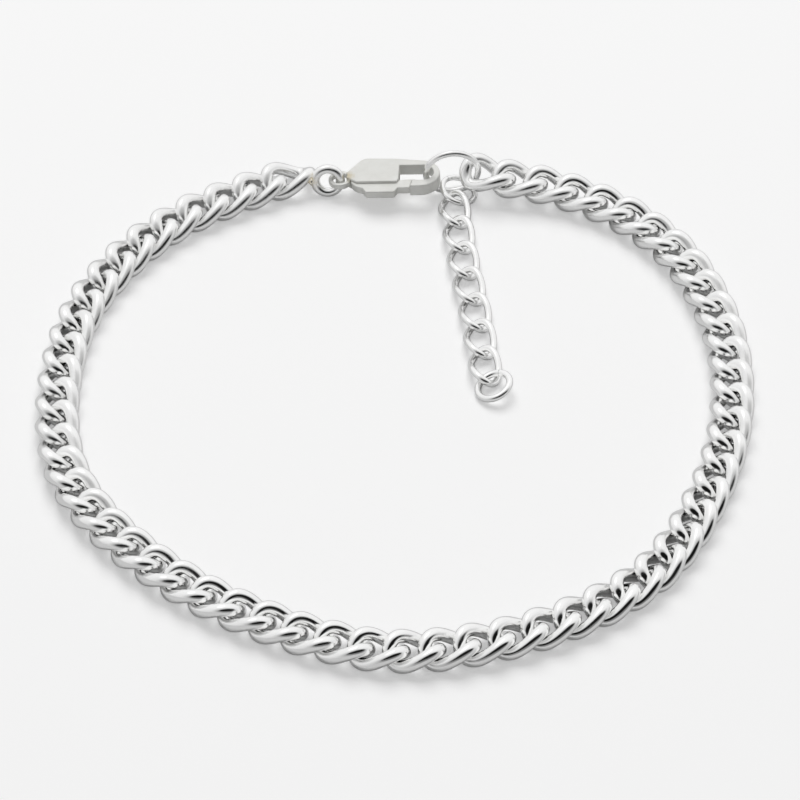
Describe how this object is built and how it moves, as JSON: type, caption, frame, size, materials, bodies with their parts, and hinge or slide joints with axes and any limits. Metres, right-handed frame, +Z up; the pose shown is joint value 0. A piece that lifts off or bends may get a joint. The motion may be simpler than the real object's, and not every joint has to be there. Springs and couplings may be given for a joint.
{
  "type": "curb link bracelet",
  "caption": "Silver curb-link bracelet with a flat sprung clasp, a ring that the clasp hooks into and a short open-link extender, lying closed in a loop.",
  "frame": {"origin": "middle of the loop's footprint, on the surface that the bracelet lies on", "axes": "+Z up from the surface, +Y away from the viewer towards the clasp, +X to the viewer's right"},
  "size_m": [0.0652, 0.0654, 0.0056],
  "materials": {
    "polished_silver": "polished silver",
    "satin_silver": "silver with a fine satin face"
  },
  "bodies": {
    "bracelet": {"end_link": "polished_silver", "curb_chain_left": "polished_silver", "curb_chain_right": "polished_silver", "clasp_body": "satin_silver", "hook_ring": "polished_silver", "extender_ring": "polished_silver", "extender_link_1": "polished_silver", "extender_link_2": "polished_silver", "extender_link_3": "polished_silver", "extender_link_4": "polished_silver", "extender_link_5": "polished_silver", "extender_link_6": "polished_silver", "extender_link_7": "polished_silver", "end_ring": "polished_silver"},
    "lever": {"clasp_lever": "satin_silver"}
  },
  "joints": [
    {"name": "lever_hinge", "type": "hinge", "parent": "bracelet", "child": "lever", "pos_m": [-0.00302, 0.02955, 0.00179], "axis": [-0.0627, 0.0033, 0.998], "range_deg": [0, 12], "stiffness_Nm_per_rad": 0.002, "springref_deg": -11.46}
  ]
}
